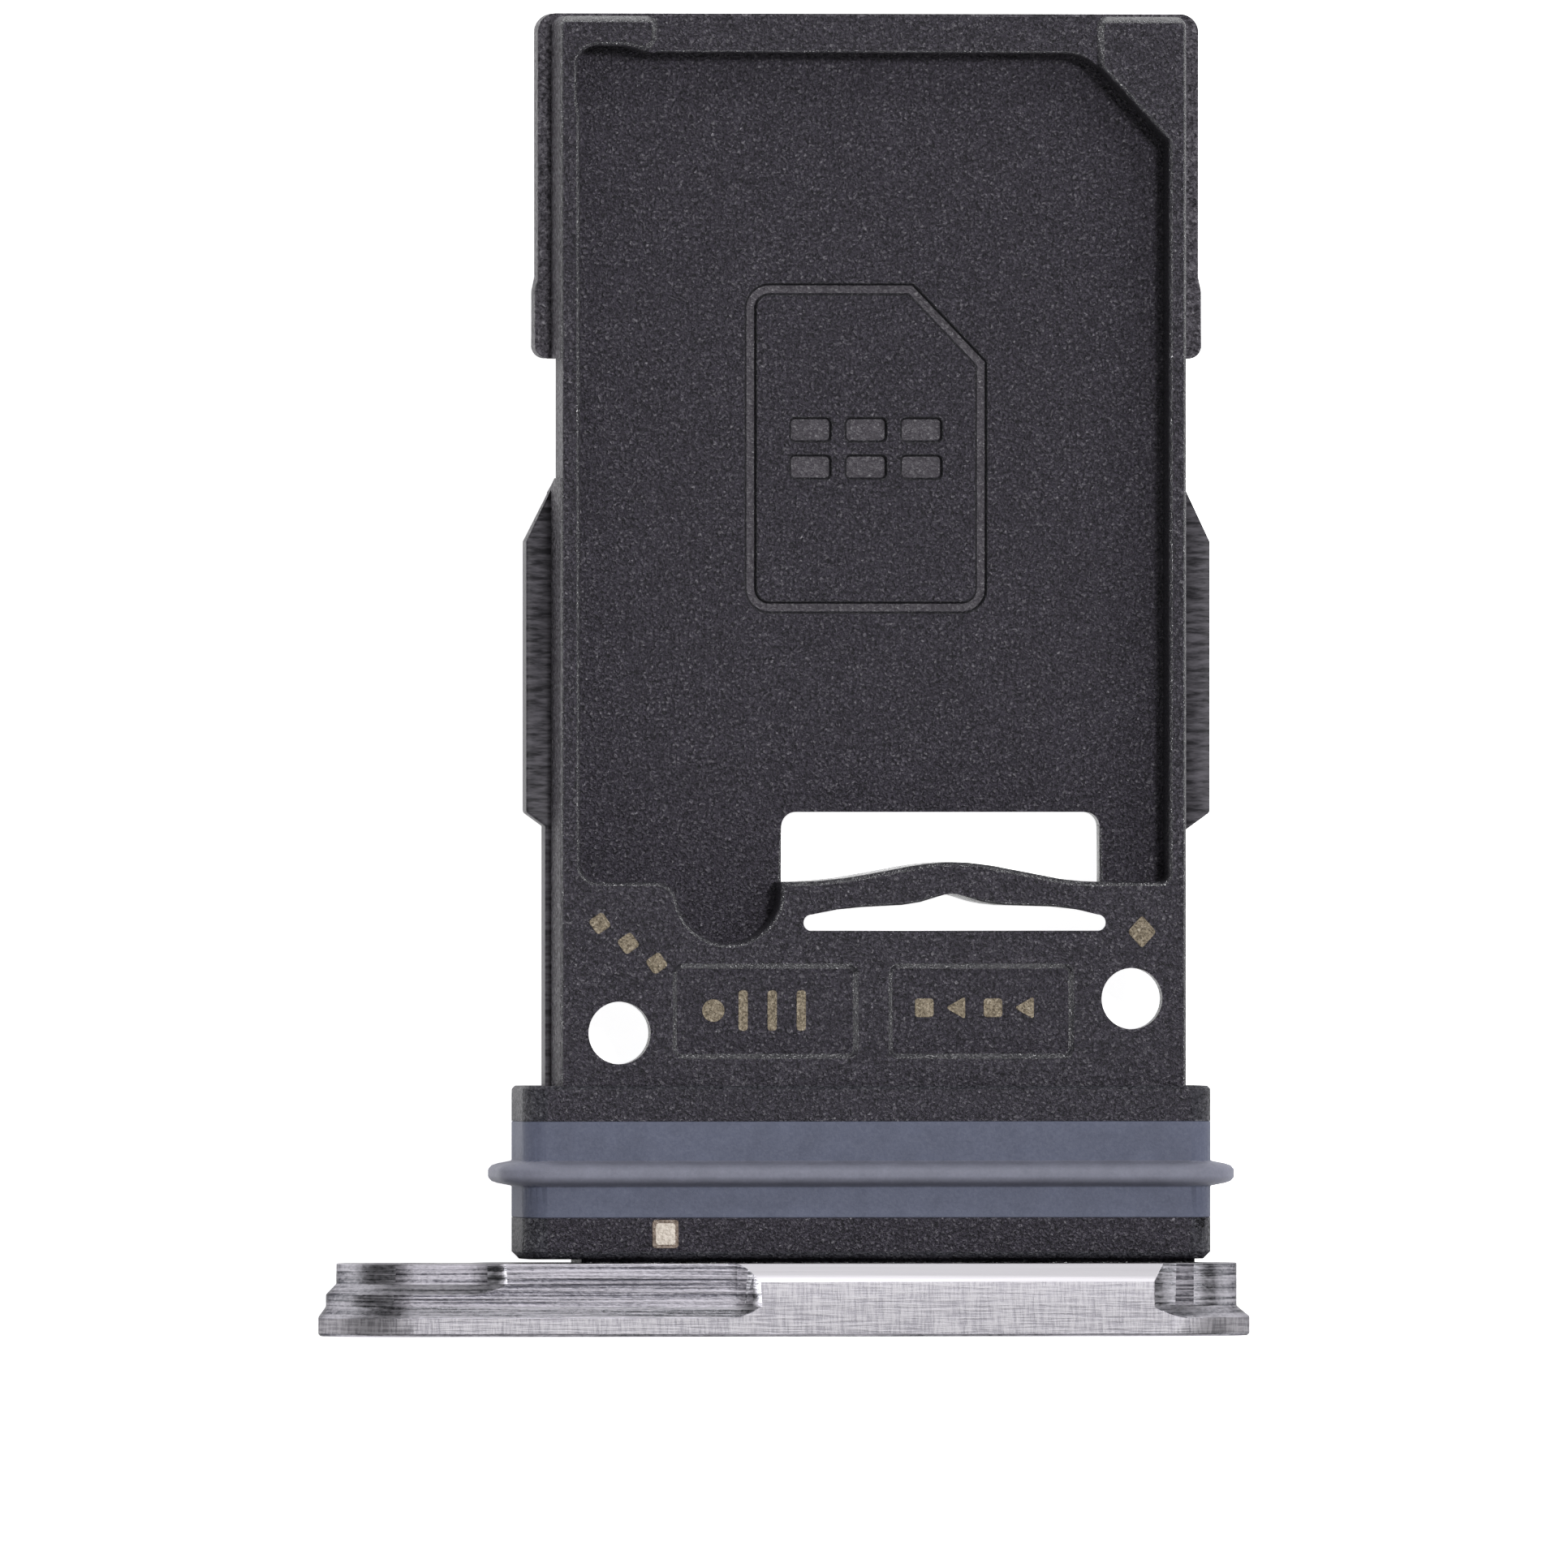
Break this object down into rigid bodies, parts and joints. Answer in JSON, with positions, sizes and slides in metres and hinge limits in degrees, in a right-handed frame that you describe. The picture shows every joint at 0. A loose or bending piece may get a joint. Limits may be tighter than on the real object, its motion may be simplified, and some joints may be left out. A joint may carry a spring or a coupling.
{
  "type": "sim card tray",
  "caption": "Flat tray for small phone cards: a milled metal face plate with an eject hole, a moulded frame with a card pocket and a spring arm, and a silicone seal with a lip.",
  "frame": {"origin": "centre of the face plate's outer face, on the parting plane of the moulding", "axes": "+Y from the face plate to the tip, the direction of insertion; +X along the face plate, away from the eject hole; +Z out of the upper card pocket"},
  "size_m": [0.014, 0.0199, 0.0028],
  "materials": {
    "plate": "fine bead-blasted, pale grey with a lilac tint, milled steps left machined",
    "moulding": "charcoal with a fine eroded grain",
    "seal": "smooth satin blue grey silicone"
  },
  "bodies": {
    "root": {"face_plate": "plate", "tray_body": "moulding", "seal_ring": "seal"}
  },
  "joints": []
}
